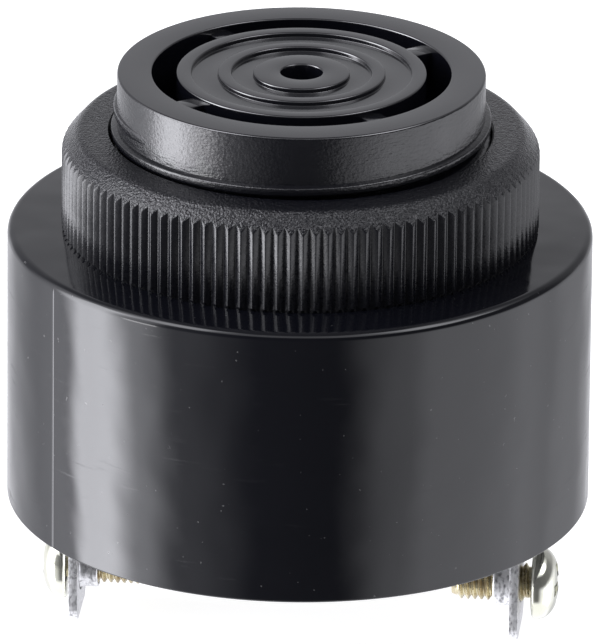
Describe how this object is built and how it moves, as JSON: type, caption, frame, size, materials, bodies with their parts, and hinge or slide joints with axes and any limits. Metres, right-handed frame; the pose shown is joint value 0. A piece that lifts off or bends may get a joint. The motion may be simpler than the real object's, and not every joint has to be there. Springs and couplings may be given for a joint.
{
  "type": "piezo buzzer",
  "caption": "Round panel-mount piezo buzzer with a slotted sound grille on a threaded neck, a knurled ring nut and screw terminals at the rear.",
  "frame": {"origin": "on the axis, on the front face of the body that seats against the back of the panel", "axes": "+Z along the neck, out of the sound grille; +X towards the right terminal"},
  "size_m": [0.0432, 0.0432, 0.0436],
  "materials": {
    "housing_black": "glossy moulded body, satin neck",
    "nut_black": "spark-textured top, semi-gloss knurl",
    "plate_brass": "rolled",
    "ceramic": "fired ceramic",
    "electrode_silver": "printed silver",
    "silicone": "cured silicone",
    "solder": "reflowed tin",
    "lead_black": "extruded sleeve",
    "lead_red": "extruded sleeve",
    "lead_blue": "extruded sleeve",
    "board_brown": "phenolic laminate",
    "ferrite": "sintered",
    "copper": "enamelled winding",
    "component_black": "moulded epoxy",
    "resistor_tan": "lacquered",
    "capacitor_blue": "shrink sleeve",
    "cover_black": "moulded",
    "tinned": "tin plate",
    "screw_zinc": "zinc plate with a pale yellow passivation"
  },
  "bodies": {
    "body": {"housing": "housing_black", "rear_cover": "cover_black", "terminal_left": "tinned", "terminal_right": "tinned", "piezo_plate": "plate_brass", "piezo_ceramic": "ceramic", "main_electrode": "electrode_silver", "feedback_electrode": "electrode_silver", "mounting_bead": "silicone", "element_solder": "solder", "plate_lead": "lead_black", "main_lead": "lead_red", "feedback_lead": "lead_blue", "circuit_board": "board_brown", "board_solder": "solder", "drum_core": "ferrite", "coil_winding": "copper", "drive_transistor": "component_black", "base_resistor": "resistor_tan", "bias_resistor": "resistor_tan", "polarity_diode": "component_black", "supply_capacitor": "capacitor_blue", "terminal_solder": "solder"},
    "nut": {"ring_nut": "nut_black"},
    "left_screw": {"screw_left": "screw_zinc"},
    "right_screw": {"screw_right": "screw_zinc"}
  },
  "joints": [
    {"name": "nut_travel", "type": "slide", "parent": "body", "child": "nut", "axis": [0, 0, 1], "range_m": [0, 0.0125]},
    {"name": "left_screw_travel", "type": "slide", "parent": "body", "child": "left_screw", "axis": [-1, 0, 0], "range_m": [-0.00028, 0.0027]},
    {"name": "right_screw_travel", "type": "slide", "parent": "body", "child": "right_screw", "axis": [1, 0, 0], "range_m": [-0.00086, 0.0021]}
  ]
}
